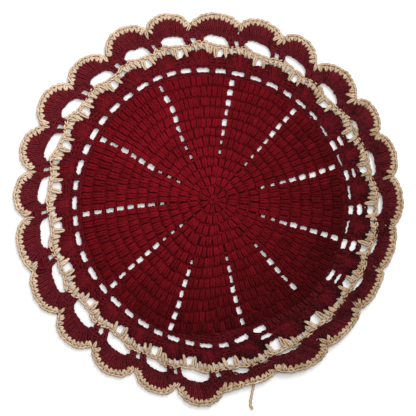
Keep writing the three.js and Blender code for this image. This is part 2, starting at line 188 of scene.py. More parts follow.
# Windows are counted two to a fan. Two chains lie over a narrow one, the lower at this level.
SHUT_WINDOWS = [41, 42, 43, 45]
NARROW_WINDOWS = {1: 111.8, 3: 111.1, 5: 111.8, 47: 111.1}
NARROW_STEP = 1.1  # from the lower to the upper chain
SHUT_HALF, NARROW_HALF = 0.14, 0.19  # half the yarn over a window, in fans
# Chains where the windows lie further out than the disc: level, and first and last place
WIDE_BAND = [(103.6, 17.5, 20.7), (101, 18, 19.2), (103.8, 15.3, 16.7)]

# Small fans: stitches in all and before the middle, levels of the feet and of the middle's top, degrees
# between two stitches at both, and drop of the tops to the sides, by the square of the stitches, and
# of the last one
SMALL_FAN_STITCHES, SMALL_FAN_BEFORE = 8, 3.5
SMALL_FAN_FOOT, SMALL_FAN_TOP = 114.2, 126.8
SMALL_FAN_STEPS = (0.78, 1.55)
SMALL_FAN_BOW, SMALL_FAN_DROP = 0.2, 1.8
# Middle stitch of a small fan. The others darken towards the sides as painted shade beside the posts.
LIGHTEST_STITCH = 3
# Arcs between two small fans: half width in degrees, and level of the ends. Beside a slit there is
# one, at the level given by fan.
SMALL_ARCS = [(4.3, 115.7), (4.4, 118.4)]
SLIT_ARC_HALF = 4.4
SLIT_ARCS = {0: 120.6, 1: 118.9, 2: 119.1, 20: 118.8, 22: 118.9, 23: 120.6}
ARC_BOW = 0.9

# Inner edging, for one gap: degrees from its middle, and level of the chain; tip and base of each
# tooth, and of the two long stitches beside the gap
CHAIN_MEAN = 130.3
CHAIN_LINE = [
    (-7.5, 132.3), (-6.3, 131.4), (-5.2, 130.1), (-4.2, 129.4), (-3.2, 129.9), (-1.5, 130.2),
    (0, 130), (1.2, 130.2), (2.2, 130.9), (3.2, 132.2), (4, 133.6), (5, 133), (6.3, 131.7),
    (7.5, 132.3),
]
INNER_TEETH = [
    (3.7, 124.2, 2.7, 131.2), (5, 125.2, 4.2, 132), (6.4, 127, 6, 131.4), (8.2, 125.9, 7.6, 131.8),
    (-4.2, 125.4, -4.3, 129.2),
]
INNER_LEGS = [(-2.3, 121.2, -2.7, 129.9), (2.2, 121.2, 0.8, 129.8)]

# Paired posts, in degrees from their middle
PAIR_INNER, PAIR_SPREAD = 0.55, 0.2  # inner sides at the foot, and how much further out at the top
PAIR_SHIFT = 0.35  # of both, towards the next fan
PAIR_FOOT_REACH, PAIR_TOP_REACH = 7.6, 8  # outer sides, and half the gap beside them
PAIR_TOP = 139.6
# Stitch that shuts the hole between them: half width in degrees and level, at its foot and top
LADDER_FOOT, LADDER_TOP = (0.7, 131.5), (0.9, 139.4)
SHUT_LADDERS = [0, 1, 2, 3, 14, 21]  # fans with a shut hole after them
LADDER_CHAINS, LADDER_CHAIN_HALF = (139.3, 141.1), 2.9  # above both
# Arch over a gap: share of the gap's half width, and level
ARCH_LINE = [
    (-1.15, 137.2), (-1, 138.2), (-0.83, 140), (-0.57, 141), (-0.33, 141.1), (0, 141.6), (0.3, 142),
    (0.68, 141.5), (0.85, 140.4), (1, 138.8), (1.15, 138),
]

# Large fans: degrees from the middle of a fan, and level of the tops without the part that the rim
# covers; how far the feet and tops reach under the arch and rim; degrees between two stitches at
# both; lowest foot; and, for the yarn across a notch, level and half width in degrees
LARGE_FAN_STITCHES = 10
LARGE_FAN = [(-7.4, 141.9), (-6.9, 146), (-5, 148.8), (-2.6, 151.4), (0, 152.2), (2.6, 151.4),
             (5, 148.8), (6.9, 146), (7.4, 141.9)]
UNDER_ARCH, UNDER_RIM = 0.8, 2.3
LARGE_FAN_STEPS = (0.98, 1.46)
LOWEST_FOOT = 138.6
OPEN_NOTCHES = [5, 13, 22, 23]  # fans with an open notch after them
NOTCH_YARN = (145.2, 1.1)

# Outer edging: degrees from the middle of a fan, and level of the rim; depth inwards from the rim of
# the chain and of the teeth, each with what is added beside a notch; tip and base of the stitches
# into it
SCALLOP = [(-7.5, 150.4), (-6.2, 153.4), (-4.2, 156.4), (-2, 158), (0, 158.5), (2, 158), (4.2, 156.4),
           (6.2, 153.4), (7.5, 150.4)]
RIM_STITCHES = 10
CHAIN_DEPTH = 1.8
CHAIN_DEEPER = [(6, 0), (7.5, 1.1)]
TOOTH_DEPTH = 5.3
LONGER = [(-7.5, 1.5), (-6.4, 1.1), (-5, 0.5), (-3, 0), (5, 0), (7.5, 1)]
NOTCH_TEETH = [(-6.3, 143, -6.9, 148.8), (-4.9, 146, -5.6, 149.6), (6.7, 145.4, 7, 149.2)]

TAIL_RADIUS, TAIL_RINGS = 1.1, 46
TAIL_ROUTE = np.array([
    (33, -131.4, 1.68), (33.1, -133.6, 1.6), (33.2, -135.8, 1.48), (33.3, -138, 1.34),
    (33.3, -140.2, 1.22), (33.3, -142.4, 1.14), (33.1, -144.8, 1.12), (32.7, -147, 1.12),
    (32.2, -149.2, 1.12), (31.8, -151.4, 1.12), (31.4, -153.6, 1.12), (31, -155.8, 1.12),
    (30.8, -157.8, 1.12), (30.9, -159.6, 1.12), (31.6, -161.3, 1.12), (32.8, -162.7, 1.12),
])

# Ground under the stitches: how far it ends inside the solids and reaches under the rim's teeth, its
# lowest height, and its share of the solids' thickness
GROUND_INSET, GROUND_OVERLAP = 0.7, 1.2
GROUND_HEIGHT, GROUND_SHARE = 1.2, 0.25
SHORTEST_MEAN = 0.3  # of the normals at a sharp corner, so that it isn't pushed too far

# Strands of a stitch: share of its width to the right, share of its length outwards, height in
# millimetres. Each strand begins with its radius against a full one.
LEFT_LEG = (1.42, [(-0.14, 0.03, 1.4), (-0.18, 0.1, 2.3), (-0.21, 0.22, 2.9), (-0.215, 0.42, 3.05),
                   (-0.21, 0.64, 2.85), (-0.18, 0.8, 2.2), (-0.14, 0.9, 1.4)])
RIGHT_LEG = (1.42, [(0.15, 0.04, 1.4), (0.19, 0.11, 2.3), (0.215, 0.25, 2.95), (0.215, 0.45, 3.1),
                    (0.21, 0.67, 2.9), (0.18, 0.82, 2.3), (0.15, 0.91, 1.4)])
WRAP = (0.75, [(-0.4, 0.36, 2), (-0.2, 0.44, 3.4), (0.05, 0.53, 3.7), (0.3, 0.62, 3.2),
               (0.42, 0.68, 1.9)])
FRONT_LOOP = (0.85, [(-0.52, 0.95, 1.2), (-0.25, 0.98, 1.7), (0.1, 1, 1.8), (0.45, 0.98, 1.7),
                     (0.6, 0.95, 1.2)])
BACK_LOOP = (0.85, [(-0.5, 1.05, 1.3), (-0.2, 1.08, 1.4), (0.15, 1.09, 1.4), (0.5, 1.06, 1.3)])
LAST_DOUBLE = [LEFT_LEG, RIGHT_LEG, WRAP, FRONT_LOOP]
DOUBLE = [*LAST_DOUBLE, BACK_LOOP]

FAN_STITCH = [
    (1.2, [(-0.22, -0.04, 1.2), (-0.25, 0.1, 2.3), (-0.25, 0.4, 2.8), (-0.25, 0.7, 2.8),
           (-0.24, 0.92, 2.2), (-0.22, 1, 1.4)]),
    (1.2, [(0.22, -0.04, 1.2), (0.25, 0.12, 2.4), (0.25, 0.45, 2.9), (0.25, 0.72, 2.8),
           (0.24, 0.92, 2.2), (0.22, 1, 1.4)]),
    (0.7, [(-0.42, 0.42, 1.8), (-0.15, 0.48, 3.1), (0.1, 0.54, 3.2), (0.42, 0.62, 1.8)]),
    FRONT_LOOP,
]
BAR = [
    (0.95, [(-0.5, 0.88, 1.7), (-0.2, 0.94, 2.2), (0.2, 0.94, 2.2), (0.5, 0.88, 1.7)]),
    (0.95, [(-0.5, 1, 1.2), (-0.2, 1.08, 1.2), (0.2, 1.08, 1.2), (0.5, 1, 1.2)]),
]


def pair(strand):
    """Two full strands of a stitch: the one given, on the right, and its mirror image."""
    left = [(-aside, outwards, height) for aside, outwards, height in strand]
    return [(1, left), (1, strand)]


LINK = pair([(0.1, -0.35, 1.1), (0.4, -0.05, 1.9), (0.38, 0.35, 2.6), (0.22, 0.8, 2.8),
             (0.06, 1.12, 2)])
TOOTH = pair([(0.06, 0.14, 1.2), (0.07, 0.02, 2.4), (0.1, 0.18, 3.3), (0.17, 0.45, 3.6),
              (0.24, 0.75, 3.3), (0.26, 1, 2.2)])
LONG_TOOTH = pair([(0.05, 0.1, 1.4), (0.04, -0.03, 2.6), (0.14, 0.12, 3.5), (0.22, 0.45, 3.5),
                   (0.22, 0.75, 3.1), (0.1, 1, 2)])

random = np.random.default_rng(SEED)


def stray(kind, size=None):
    """Random departures from even work."""
    return random.normal(0, UNEVEN[kind], size)


# The upper edge of each round but the last wanders a little.
WANDER_PLACES = 5  # in a wedge
WANDER = stray("round edge", (ROUNDS + 1, WANDER_PLACES * len(SPOKES)))
WANDER[ROUNDS] = 0


# Places on the mat

def look_up(value, table):
    """Value between the rows of a table with two columns."""
    return np.interp(value, *zip(*table))


def way(value, start, end):
    """Share of the way from start to end."""
    return (value - start) / (end - start)


def curve(a, b, c, d, part):
    """Value at a part of the way from b to c, on a smooth curve through all four."""
    bend = 2 * a - 5 * b + 4 * c - d + part * (3 * (b - c) + d - a)
    return b + 0.5 * part * (c - a + part * bend)


def ring_value(values, place):
    """Value between the entries of a closed ring of numbers, on a smooth curve."""
    place = np.asarray(place, float)
    index = np.floor(place).astype(int)
    around = (values[(index + step) % len(values)] for step in (-1, 0, 1, 2))
    return curve(*around, place - index)


def spoke_place(angle):
    """Place of a direction among the lines of eyelets."""
    turned = ANGLES[0] + (angle - ANGLES[0]) % 360
    return np.interp(turned, FULL_TURN, np.arange(len(FULL_TURN)))


def spoke_angle(place):
    """Direction of a place among the lines of eyelets."""
    place = np.asarray(place, float)
    index = np.floor(place).astype(int)
    start, end = (FULL_TURN[index % len(ANGLES) + step] for step in (0, 1))
    return start + (end - start) * (place - index)


def unit(vectors):
    return vectors / np.maximum(np.linalg.norm(vectors, axis=-1, keepdims=True), 1e-9)


def polar(angle, radius):
    turn = np.radians(angle)
    return np.stack([radius * np.cos(turn), radius * np.sin(turn)], axis=-1)


def disc_point(place, round_):
    """Point of the disc: a place among the lines of eyelets, and a round counted from the first."""
    place, round_ = np.broadcast_arrays(np.asarray(place, float), np.asarray(round_, float))
    rim = polar(spoke_angle(place), ring_value(REACHES, place))
    along = rim - DISC_MIDDLE
    inward = ring_value(INWARDS, place) * look_up(round_, INWARD_SHARE)
    aside = (ring_value(SEVENTHS, place) * look_up(round_, SEVENTH_SHARE)
             + ring_value(TENTHS, place) * look_up(round_, TENTH_SHARE))
    left = unit(np.stack([-along[..., 1], along[..., 0]], axis=-1))
    return DISC_MIDDLE + along * ((round_ - inward) / ROUNDS)[..., None] + left * aside[..., None]


def fan_point(fan, level):
    """Point of the fan rounds: a place counted in fans, and a level."""
    fan, level = np.broadcast_arrays(np.asarray(fan, float), np.asarray(level, float))
    share = way(level, AT_WINDOWS, AT_CREST)
    nearest = np.floor(fan + 0.5).astype(int)
    dome = 1 - (2 * np.abs(fan - nearest)) ** DOME_POWER
    notch_fan = (np.ceil(fan).astype(int) - 1) % COUNT
    notch = NOTCHES[notch_fan]
    outwards = np.clip(way(level, AT_ARCH, AT_NOTCH), 0, 1)
    turn = look_up(level, SWAY) + NOTCH_TURNS[notch_fan] * (1 - dome) * outwards
    angle = FAN_STEP * fan + ring_value(DRIFTS, fan) + ring_value(LEANS, fan) * share + turn
    rim = notch + (CRESTS[nearest % COUNT] - notch) * dome
    rim_level = AT_NOTCH + (AT_CREST - AT_NOTCH) * dome
    low = ring_value(GAPS, fan) - ring_value(OPENS, fan) / 2
    high = low + ring_value(OPENS, fan)
    windows = ring_value(WINDOW_RADII, fan)
    inner = windows + way(level, AT_WINDOWS, AT_BRIDGE) * (low - windows)
    middle = low + way(level, AT_BRIDGE, AT_ARCH) * (high - low)
    outer = high + way(level, AT_ARCH, rim_level) * (rim - high)
    radius = np.where(level < AT_BRIDGE, inner, np.where(level < AT_ARCH, middle, outer))
    return polar(angle, radius)


def rise(points):
    """Height of the underside over the table."""
    angle = np.degrees(np.arctan2(points[..., 1], points[..., 0]))
    full = np.maximum(0, ring_value(RISES, spoke_place(angle)))
    distance = np.hypot(points[..., 0], points[..., 1])
    share = np.clip(way(distance, RISE_STARTS, RISE_ENDS), 0, 1)
    return full * share * share * (3 - 2 * share)


# Objects

def new_object(name, data):
    obj = bpy.data.objects.new(name, data)
    bpy.context.scene.collection.objects.link(obj)
    return obj


def piece(name, mesh):
    obj = new_object(name, mesh)
    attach(obj, "root")
    return obj


# Strands of yarn

def smooth(points, rings):
    """Points at even steps along curves through control points, as an array of strands."""
    first = 2 * points[:, :1] - points[:, 1:2]
    last = 2 * points[:, -1:] - points[:, -2:-1]
    ends = np.concatenate([first, points, last], axis=1)
    place = np.linspace(0, points.shape[1] - 1, rings)
    index = np.minimum(np.floor(place).astype(int), points.shape[1] - 2)
    around = (ends[:, index + step] for step in range(4))
    return curve(*around, (place - index)[:, None])


class Yarn:
    """Collects strands as closed tubes, and makes one piece of them."""

    def __init__(self):
        self.points, self.sizes, self.corners, self.uvs, self.tones = [], [], [], [], []
        self.total = 0

    def add(self, controls, radii, rings, tones):
        """controls: strands, control points, three coordinates. radii: strands, control points.
        tones: strands, rings."""
        both = smooth(np.concatenate([controls, radii[..., None]], axis=2), rings)
        line, radius = both[..., :3], both[..., 3].copy()
        line[..., 2] = np.maximum(line[..., 2], radius)
        radius[:, [0, -1]] *= END_TAPER
        tangent = unit(np.gradient(line, axis=1))
        length = np.zeros(line.shape[:2])
        length[:, 1:] = np.cumsum(np.linalg.norm(np.diff(line, axis=1), axis=2), axis=1)
        normal = self._normals(tangent)
        across = np.cross(tangent, normal)
        begin = random.uniform(0, 2 * math.pi, (len(line), 1))
        twist = begin + 2 * math.pi * length / PLY_TURN
        turn = twist[..., None] + 2 * math.pi * np.arange(SIDES) / SIDES
        ply = 1 + PLY_DEPTH * np.where(np.arange(SIDES) % 2, -1, 1)
        reach = radius[..., None] * ply
        ring_points = (line[:, :, None] + (reach * np.cos(turn))[..., None] * normal[:, :, None]
                       + (reach * np.sin(turn))[..., None] * across[:, :, None])
        self._faces(ring_points, length, tones)

    def _normals(self, tangent):
        """Directions square to the strands, carried along them without a twist."""
        normal = np.empty_like(tangent)
        side = np.cross(tangent[:, 0], [0.0, 0.0, 1.0])
        upright = np.linalg.norm(side, axis=1) < 0.05
        side[upright] = [1.0, 0.0, 0.0]
        normal[:, 0] = unit(side)
        for ring in range(1, tangent.shape[1]):
            carried = normal[:, ring - 1]
            overlap = np.sum(carried * tangent[:, ring], axis=1, keepdims=True)
            normal[:, ring] = unit(carried - overlap * tangent[:, ring])
        return normal

    def _faces(self, ring_points, length, tones):
        strands, rings = ring_points.shape[:2]
        index = self.total + np.arange(strands * rings * SIDES).reshape(strands, rings, SIDES)
        following = np.roll(index, -1, axis=2)
        quads = np.stack([index[:, :-1], following[:, :-1], following[:, 1:], index[:, 1:]], axis=-1)
        low = np.broadcast_to(np.arange(SIDES) / SIDES, quads.shape[:-1])
        high = low + 1 / SIDES
        before = np.broadcast_to(length[:, :-1, None], low.shape)
        after = np.broadcast_to(length[:, 1:, None], low.shape)
        uv = np.stack([np.stack(corner, -1) for corner in
                       ((low, before), (high, before), (high, after), (low, after))], axis=-2)
        caps = np.concatenate([index[:, 0, ::-1], index[:, -1]])
        cap_uv = np.zeros((caps.size, 2))
        for faces, face_uv in ((quads.reshape(-1, 4), uv.reshape(-1, 2)), (caps, cap_uv)):
            self.corners.append(faces.ravel())
            self.sizes.append(np.full(len(faces), faces.shape[1]))
            self.uvs.append(face_uv)
        self.points.append(ring_points.reshape(-1, 3))
        self.tones.append(np.repeat(tones.ravel(), SIDES))
        self.total += strands * rings * SIDES

    def piece(self, name, slot):
        return piece(name, self._mesh(name))

    def _mesh(self, name):
        lists = self.points, self.corners, self.sizes, self.uvs, self.tones
        points, corners, sizes, uvs, tones = map(np.concatenate, lists)
        mesh = bpy.data.meshes.new(name)
        mesh.vertices.add(len(points))
        mesh.vertices.foreach_set("co", ((points + MAT_SHIFT) * MM).astype(np.float32).ravel())
        mesh.loops.add(len(corners))
        mesh.loops.foreach_set("vertex_index", corners.astype(np.int32))
        mesh.polygons.add(len(sizes))
        mesh.polygons.foreach_set("loop_start", (np.cumsum(sizes) - sizes).astype(np.int32))
        mesh.polygons.foreach_set("use_smooth", np.ones(len(sizes), bool))
        mesh.uv_layers.new(name="yarn").data.foreach_set("uv", uvs.astype(np.float32).ravel())
        tone = mesh.attributes.new("tone", "FLOAT", "POINT")
        tone.data.foreach_set("value", tones.astype(np.float32))
        mesh.update(calc_edges=True)
        mesh.validate()
        return mesh


def put(yarn, cells, template, width=STITCH, radius=STRAND, lift=0.0, loose=1.0, tip=1.0, light=0.5,
        top_darkening=0.0):
    """Puts the strands of a stitch into each cell. A cell is its foot's left and right corner and its
    top's left and right corner. Strands have their radius at a cell of the given width, and tip times that
    at the foot. Along the strands the tone goes from lighter at the foot to darker at the top by the given
    amount. In the small fans this is painted shade."""
    cells = np.asarray(cells, float)
    lift = np.broadcast_to(lift, len(cells))
    shift = stray("shift", (len(cells), 2)) * loose
    lean = stray("lean", len(cells)) * loose
    high = stray("height", len(cells)) * loose
    size = 1 + stray("size", len(cells))
    tone = light + stray("tone", len(cells))
    ends = cells[:, :2], cells[:, 2:]
    foot, top = (end.mean(axis=1, keepdims=True) for end in ends)
    foot_across, top_across = (end[:, 1:] - end[:, :1] for end in ends)
    mean_length = np.linalg.norm(top - foot, axis=2).mean()
    mean_width = np.linalg.norm(foot_across + top_across, axis=2).mean() / 2
    for share, strand in template:
        rightwards, along, height = np.transpose(strand)
        aside = rightwards + shift[:, :1] + lean[:, None] * along
        outwards = along + shift[:, 1:] * ALONG_SHIFT
        across = foot_across + (top_across - foot_across) * outwards[..., None]
        flat = foot + (top - foot) * outwards[..., None] + across * aside[..., None]
        local = np.linalg.norm(across, axis=-1) / width
        thick = radius * share * np.clip(local, *CELL_WIDTHS) * size[:, None]
        thick *= np.interp(along, (0, 0.5), (tip, 1))
        z = height + (high + lift)[:, None] + rise(flat)
        controls = np.concatenate([flat, z[..., None]], axis=2)
        controls += stray("strand", controls.shape) * loose
        steps = np.diff(strand, axis=0) * [mean_width, mean_length, 1]
        strand_length = np.linalg.norm(steps, axis=1).sum()
        rings = max(FEWEST_RINGS, int(round(strand_length * RINGS_PER_MM)) + 1)
        at_rings = np.interp(np.linspace(0, len(along) - 1, rings), np.arange(len(along)), along)
        base = tone + stray("strand tone", len(cells))
        yarn.add(controls, thick, rings, np.clip(base[:, None] + top_darkening * (0.5 - at_rings), *TONES))


# Cells and chains

def cells_between(feet, tops):
    """Cells of a row, from the points of its lower and its upper edge."""
    return np.stack([feet[:-1], feet[1:], tops[:-1], tops[1:]], axis=1)


def spread(middle, half, count):
    """Places in fans, at even steps and up to half degrees to each side of a middle."""
    return middle + np.linspace(-half, half, count) / FAN_STEP


def standing_cells(places, half_width):
    """Cells from (place in fans, level) of the foot and of the top, half_width degrees to each side."""
    half = half_width / FAN_STEP
    return [[fan_point(foot - half, low), fan_point(foot + half, low),
             fan_point(top - half, high), fan_point(top + half, high)]
            for foot, low, top, high in places]


def vary(teeth, middle, loose):
    """Teeth around the middle of a repeat, each a little out of its place."""
    moved = []
    for tip, low, base, high in teeth:
        tip += stray("tip") * loose
        base += stray("base") * loose
        low += stray("tip level") * loose
        moved.append((middle + tip / FAN_STEP, low, middle + base / FAN_STEP, high))
    return moved


def lengths(line):
    """Distance along a line of points, from its first to each."""
    return np.concatenate([[0], np.cumsum(np.linalg.norm(np.diff(line, axis=0), axis=1))])


def points_at(distances, length, values):
    """Two columns of values along a line, at distances from its first point."""
    return np.stack([np.interp(distances, length, values[:, axis]) for axis in (0, 1)], axis=1)


def chain(yarn, line, pitch=4.2, width=3.2, lift=0.0, closed=False, loose=0.8):
    """A chain of links along a line of flat points."""
    line = np.asarray(line, float)
    if closed:
        line = np.concatenate([line, line[:1]])
    length = lengths(line)
    count = max(1, int(round(length[-1] / pitch)))
    points = points_at(np.linspace(0, length[-1], count + 1), length, line)
    tangent = unit(np.gradient(points, axis=0))
    if closed:
        tangent[0] = tangent[-1] = unit(tangent[0] + tangent[-1])
    side = np.stack([tangent[:, 1], -tangent[:, 0]], axis=1) * width / 2
    left, right = points - side, points + side
    cells = np.stack([left[:-1], right[:-1], left[1:], right[1:]], axis=1)
    put(yarn, cells, LINK, width=width, radius=width / CHAIN_WIDTH, lift=lift, loose=loose)


# Disc

def clear_width(spoke, round_):
    inward = ROUNDS - round_
    letters = EYELETS[spoke % len(EYELETS)]
    return CLEAR[letters[inward] if inward < len(letters) else "."]


def wedge_edges(spoke, round_, at):
    """Places where the stitches of a wedge begin and end, beside its two lines of eyelets."""
    near = 0.02

    def half_clear(line):
        wedge = np.linalg.norm(disc_point(line + near, at) - disc_point(line - near, at)) / (2 * near)
        return clear_width(line, round_) / 2 / wedge

    return spoke + half_clear(spoke), spoke + 1 - half_clear(spoke + 1)


def row_line(place, round_):
    """Upper edge of a round, counted in rounds from the first."""
    if round_ == 0:
        return np.full(np.shape(place), FIRST_FOOT)
    return round_ + 0.5 + ring_value(WANDER[round_], np.asarray(place) * WANDER_PLACES)


def eyelet_bar(spoke, round_, low, high):
    """Cell of the loops that run over an eyelet."""
    beside = 0.01
    start, end = disc_point(spoke - beside, high), disc_point(spoke + beside, high)
    foot, top = disc_point(spoke - beside, low), (start + end) / 2
    across = unit(end - start) * (clear_width(spoke, round_) / 2 + BAR_OVERLAP)
    return [foot - across, foot + across, top - across, top + across]


def disc_round(yarn, round_):
    """Double crochet, as many in a wedge as the round's number, and a bar over each eyelet."""
    low, high = (FIRST_FOOT if round_ == 1 else round_ - 0.5), round_ + 0.5
    cells, bars = [], []
    for spoke in range(len(SPOKES)):
        uneven = np.zeros(round_ + 1)
        uneven[1:-1] = stray("stitch edge", round_ - 1) / round_
        foot = np.linspace(*wedge_edges(spoke, round_, low), round_ + 1) + uneven
        top = np.linspace(*wedge_edges(spoke, round_, high), round_ + 1) + uneven
        cells.extend(cells_between(disc_point(foot, row_line(foot, round_ - 1)),
                                   disc_point(top, row_line(top, round_))))
        bars.append(eyelet_bar(spoke, round_, low, high))
    put(yarn, cells, DOUBLE if round_ < ROUNDS else LAST_DOUBLE)
    put(yarn, bars, BAR, width=1)


def disc():
    pieces = []
    for name, rounds in DISC_PIECES.items():
        yarn = Yarn()
        if 1 in rounds:
            centre = np.arange(CENTRE_STITCHES + 1) * len(SPOKES) / CENTRE_STITCHES
            foot, top = disc_point(centre, CENTRE_FOOT), disc_point(centre, CENTRE_TOP)
            put(yarn, cells_between(foot, top), DOUBLE)
        for round_ in rounds:
            disc_round(yarn, round_)
        pieces.append(yarn.piece(name, "burgundy_yarn"))
    return pieces


# Windows and small fans

def window_row(yarn):
    """Posts between two chains, and the yarn that shuts or narrows single windows."""
    around = np.arange(0, COUNT, 1 / 12)
    chain(yarn, fan_point(around, LOWER_CHAIN), closed=True, width=2.9, lift=-0.5)
    for level, start, end in WIDE_BAND:
        chain(yarn, fan_point(np.arange(start, end, 1 / 12), level), lift=-0.5)
    posts = np.concatenate([np.arange(COUNT) + place for place in POST_PLACES])
    feet, tops = (posts + stray("post", len(posts)) / FAN_STEP for _ in range(2))
    places = [(foot, POST_FOOT, top, POST_TOP) for foot, top in zip(feet, tops)]
    put(yarn, standing_cells(places, POST_HALF), DOUBLE)
    for window in SHUT_WINDOWS:
        place = window / 2 + np.linspace(-SHUT_HALF, SHUT_HALF, 3)
        put(yarn, cells_between(fan_point(place, POST_FOOT), fan_point(place, POST_TOP)), DOUBLE)
    for window, level in NARROW_WINDOWS.items():
        place = window / 2 + np.linspace(-NARROW_HALF, NARROW_HALF, 5)
        chain(yarn, fan_point(place, level), width=2.5, lift=-0.1, loose=0.4)
        chain(yarn, fan_point(place, level + NARROW_STEP), width=2.5, lift=-0.4, loose=0.4)
    chain(yarn, fan_point(around, UPPER_CHAIN), closed=True, width=2.5)


def small_fan(yarn, fan):
    """Eight stitches from one place between two windows, lightest at the foot of the middle ones. Their
    darker tops and sides are painted shade under the beige edging and beside the posts.
    """
    edges = np.arange(SMALL_FAN_STITCHES + 1) - SMALL_FAN_BEFORE
    feet, tops = (fan + 0.5 + edges * step / FAN_STEP for step in SMALL_FAN_STEPS)
    level = SMALL_FAN_TOP - SMALL_FAN_BOW * edges ** 2
    level[-1] -= SMALL_FAN_DROP
    stitch = np.arange(SMALL_FAN_STITCHES)
    aside = np.minimum(np.abs(stitch - LIGHTEST_STITCH) / LIGHTEST_STITCH, 1)
    put(yarn, cells_between(fan_point(feet, SMALL_FAN_FOOT), fan_point(tops, level)), FAN_STITCH,
        width=4.0, lift=np.where(stitch % 2, 0.1, -0.1), light=1 - 0.9 * aside ** 1.5, top_darkening=1.3)


def small_arcs(yarn, fan):
    arcs = [(SLIT_ARC_HALF, SLIT_ARCS[fan])] if fan in SLIT_ARCS else SMALL_ARCS
    bow = ARC_BOW * (1 - np.linspace(-1, 1, 9) ** 2)
    for half, level in arcs:
        chain(yarn, fan_point(spread(fan, half, 9), level + bow))


def windows_and_small_fans():
    yarn = Yarn()
    window_row(yarn)
    for fan in range(COUNT):
        small_fan(yarn, fan)
        small_arcs(yarn, fan)
    return yarn.piece("small_fans", "burgundy_yarn")


# Inner edging

def chain_level(degrees, height=1.0):
    """Level of the inner edging's chain, at degrees from the middle of a gap."""
    around = (degrees + FAN_STEP / 2) % FAN_STEP - FAN_STEP / 2
    return CHAIN_MEAN + height * (look_up(around, CHAIN_LINE) - CHAIN_MEAN)


def inner_edging():
    """Single crochet: a chain that runs straight over a gap and bulges before the next posts, teeth
    into the small fans with small holes between them, and a long stitch down each side of a gap."""
    yarn = Yarn()
    around = np.arange(0, COUNT, 1 / 24)
    height = ring_value(1 + stray("bulge", COUNT), around)
    wander = ring_value(stray("chain", 4 * COUNT), 4 * around)
    level = chain_level(around * FAN_STEP, height) + wander
    chain(yarn, fan_point(around, level), closed=True, width=2.8, loose=1.4)
    teeth, legs = [], []
    for gap in range(COUNT):
        teeth += vary(INNER_TEETH, gap, loose=1)
        legs += vary(INNER_LEGS, gap, loose=0.8)
    put(yarn, standing_cells(teeth, half_width=0.75), TOOTH, width=3.3, tip=0.75, loose=1.4)
    put(yarn, standing_cells(legs[::2], half_width=0.7), LONG_TOOTH, width=3.3, tip=0.6)
    put(yarn, standing_cells(legs[1::2], half_width=1.05), LONG_TOOTH, width=4.2, tip=0.6)
    return yarn.piece("inner_edging_yarn", "beige_yarn")


# Paired posts, large fans and outer edging

def gap_half(fan):
    return GAP_HALF_DEGREES * WIDTHS[fan % COUNT]


def post_cell(middle, side, half):
    """Cell of one of two posts, on the side -1 or 1 of their middle. Half is half the gap there. Its
    foot is level with the chain that lies a degree beside the gap."""
    foot = chain_level(-side * (half + 1))
    inner = PAIR_INNER + PAIR_SHIFT * side
    feet, tops = (inner, PAIR_FOOT_REACH - half), (inner + PAIR_SPREAD, PAIR_TOP_REACH - half)
    low = [fan_point(middle + side * edge / FAN_STEP, foot) for edge in feet]
    high = [fan_point(middle + side * edge / FAN_STEP, PAIR_TOP) for edge in tops]
    return low + high if side == 1 else low[::-1] + high[::-1]


def paired_posts():
    """Two posts between two gaps, with a small hole between them, and the chains over both."""
    yarn = Yarn()
    for fan in range(COUNT):
        middle = fan + 0.5
        halves = {-1: gap_half(fan), 1: gap_half(fan + 1)}
        cells = [post_cell(middle, side, half) for side, half in halves.items()]
        put(yarn, cells, FAN_STITCH, width=4.2)
        if fan in SHUT_LADDERS:
            feet, tops = (fan_point(spread(middle, reach, 2), level)
                          for reach, level in (LADDER_FOOT, LADDER_TOP))
            put(yarn, cells_between(feet, tops), FAN_STITCH, lift=-0.3)
        for level in LADDER_CHAINS:
            chain(yarn, fan_point(spread(middle, LADDER_CHAIN_HALF, 5), level), lift=-0.2)
        place = np.linspace(ARCH_LINE[0][0], ARCH_LINE[-1][0], 15)
        line = fan_point(fan + 1 + place * halves[1] / FAN_STEP, look_up(place, ARCH_LINE))
        chain(yarn, line, width=2.6, lift=-0.5)
    return yarn.piece("paired_posts", "burgundy_yarn")


def large_fan(yarn, fan):
    """Ten stitches on the arch over a gap, lightest at the top of the middle ones."""
    half_count = LARGE_FAN_STITCHES / 2
    edges = np.arange(LARGE_FAN_STITCHES + 1) - half_count
    foot_step, top_step = LARGE_FAN_STEPS
    share = np.clip(edges * foot_step / gap_half(fan), -1, 1)
    foot_level = np.maximum(look_up(share, ARCH_LINE) - UNDER_ARCH, LOWEST_FOOT)
    tops = edges * top_step
    level = look_up(tops, LARGE_FAN) + UNDER_RIM
    cells = cells_between(fan_point(fan + edges * foot_step / FAN_STEP, foot_level),
                          fan_point(fan + tops / FAN_STEP, level))
    aside = np.abs(edges[:-1] + 0.5) / (half_count - 0.5)
    put(yarn, cells, FAN_STITCH, width=4.0, lift=-0.1, light=0.75 - 0.6 * aside ** 2, top_darkening=-0.6)


def large_fans():
    yarn = Yarn()
    notch_level, notch_half = NOTCH_YARN
    for fan in range(COUNT):
        large_fan(yarn, fan)
        if fan not in OPEN_NOTCHES:
            place = spread(fan + 0.5, notch_half, 5)
            chain(yarn, fan_point(place, notch_level), width=3.4, lift=-0.5)
    return yarn.piece("large_fans", "burgundy_yarn")


